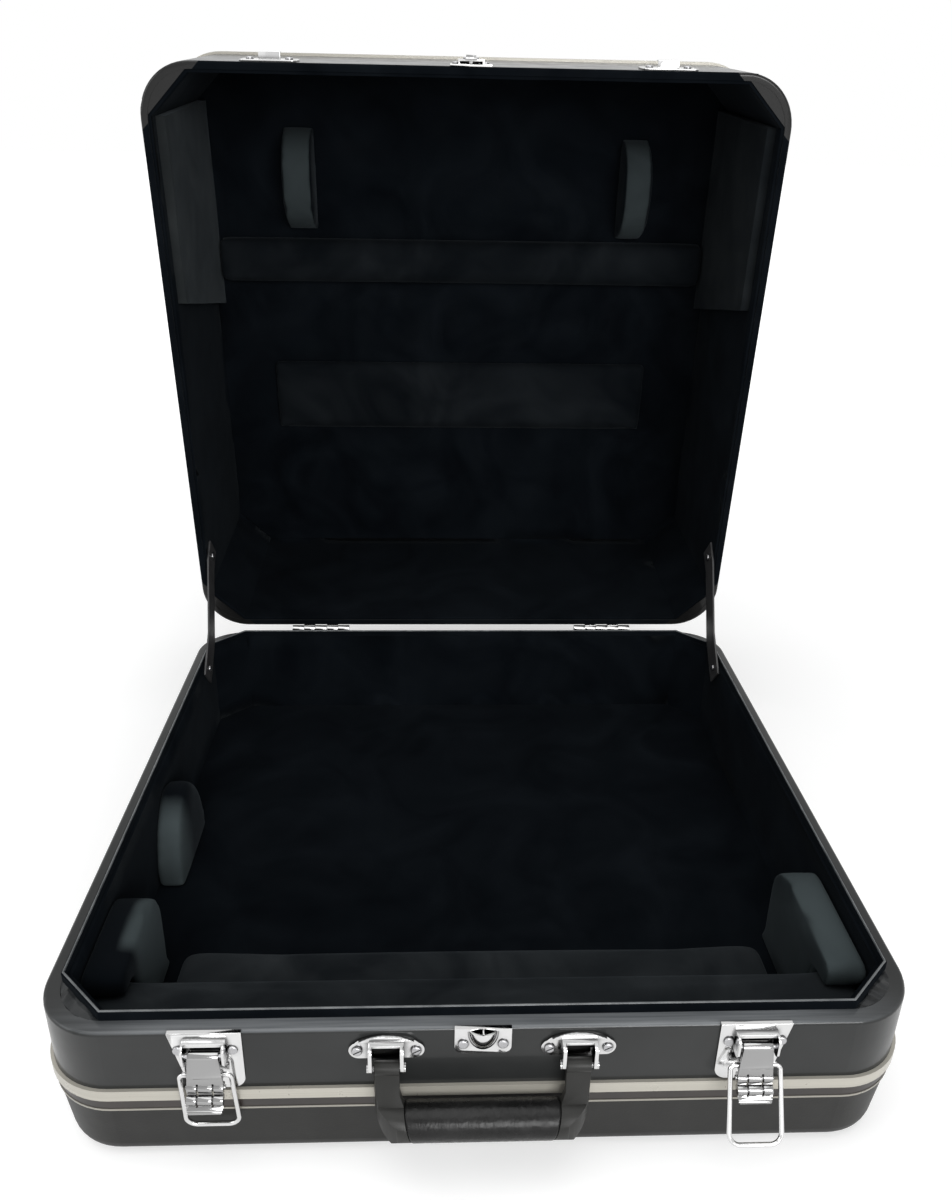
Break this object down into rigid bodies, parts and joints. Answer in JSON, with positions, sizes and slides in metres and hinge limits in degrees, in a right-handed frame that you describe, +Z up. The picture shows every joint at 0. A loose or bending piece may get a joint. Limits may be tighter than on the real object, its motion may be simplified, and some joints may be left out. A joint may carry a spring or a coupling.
{
  "type": "accordion case",
  "caption": "Rounded-square hard case for a large accordion, with a deep hinged lid, shaped padding, draw latches, a turn lock and a carrying handle; rests open.",
  "frame": {"origin": "middle of the base's flat underside", "axes": "+Z up from the floor, +Y from the latches towards the hinges, +X to the right of someone facing the latches"},
  "size_m": [0.5444, 0.7611, 0.6578],
  "materials": {
    "board": "felted board",
    "channel": "dark brown groove",
    "chrome": "bright plated",
    "cream": "cream moulding",
    "foot": "domed foot",
    "leather": "stitched black leather",
    "leatherette": "grained black covering",
    "pan": "moulded charcoal, fine texture",
    "steel": "bare",
    "strap": "leatherette strap",
    "velour": "dark blue-black plush"
  },
  "bodies": {
    "base": {"base_frame": "leatherette", "base_pan": "pan", "base_stripe": "cream", "base_channel": "channel", "base_bead": "cream", "base_band": "board", "base_corner_gussets": "leatherette", "base_floor_pad": "velour", "base_wall_lining": "velour", "front_ledge": "velour", "front_bar": "velour", "front_cheek_left": "velour", "front_cheek_right": "velour", "side_bumper_left": "velour", "latch_plate_left": "chrome", "latch_plate_right": "chrome", "latch_pins": "steel", "lock_keeper": "chrome", "handle_bracket_left": "chrome", "handle_bracket_right": "chrome", "handle_pins": "chrome", "handle_screws": "chrome", "hinge_base_leaf_left": "chrome", "hinge_base_leaf_right": "chrome", "hinge_pins": "steel", "base_rivets": "chrome", "base_glides": "foot", "stay_strap_left": "strap", "stay_strap_right": "strap"},
    "lid": {"lid_frame": "leatherette", "lid_pan": "pan", "lid_stripe": "cream", "lid_channel": "channel", "lid_bead": "cream", "lid_corner_gussets": "leatherette", "lid_wall_lining": "velour", "lid_top_lining": "velour", "lid_side_pad_left": "velour", "lid_side_pad_right": "velour", "lid_bumper_left": "velour", "lid_bumper_right": "velour", "lid_ledge": "velour", "lid_cushion": "velour", "latch_catch_left": "chrome", "latch_catch_right": "chrome", "lock_housing": "chrome", "hinge_lid_leaf_left": "chrome", "hinge_lid_leaf_right": "chrome", "lid_rivets": "chrome", "lid_glides": "foot"},
    "knob": {"lock_knob": "chrome"},
    "lever_left": {"latch_lever_left": "chrome"},
    "lever_right": {"latch_lever_right": "chrome"},
    "bail_left": {"latch_bail_left": "chrome"},
    "bail_right": {"latch_bail_right": "chrome"},
    "handle": {"handle_grip": "leather", "handle_core": "steel", "handle_strap_left": "leather", "handle_strap_right": "leather"}
  },
  "joints": [
    {"name": "lid_hinge", "type": "hinge", "parent": "base", "child": "lid", "pos_m": [0, 0.2688, 0.11075], "axis": [1, 0, 0], "range_deg": [0, 84.5], "deforming": ["stay_strap_left", "stay_strap_right"]},
    {"name": "lock_turn", "type": "hinge", "parent": "lid", "child": "knob", "pos_m": [0, 0.22192, 0.642], "axis": [0, 0.0958, -0.9954], "range_deg": [0, 120]},
    {"name": "lever_left_flip", "type": "hinge", "parent": "base", "child": "lever_left", "pos_m": [-0.1642, -0.2705, 0.098], "axis": [-1, 0, 0], "range_deg": [0, 110]},
    {"name": "lever_right_flip", "type": "hinge", "parent": "base", "child": "lever_right", "pos_m": [0.1642, -0.2705, 0.098], "axis": [-1, 0, 0], "range_deg": [0, 110]},
    {"name": "bail_left_swing", "type": "hinge", "parent": "lever_left", "child": "bail_left", "pos_m": [-0.1642, -0.2725, 0.085], "axis": [1, 0, 0], "range_deg": [-192.2, 0.5]},
    {"name": "bail_right_swing", "type": "hinge", "parent": "lever_right", "child": "bail_right", "pos_m": [0.1642, -0.2725, 0.085], "axis": [1, 0, 0], "range_deg": [-161.2, 31.5]},
    {"name": "handle_swing", "type": "hinge", "parent": "base", "child": "handle", "pos_m": [0, -0.2725, 0.088], "axis": [-1, 0, 0], "range_deg": [0, 110]}
  ]
}
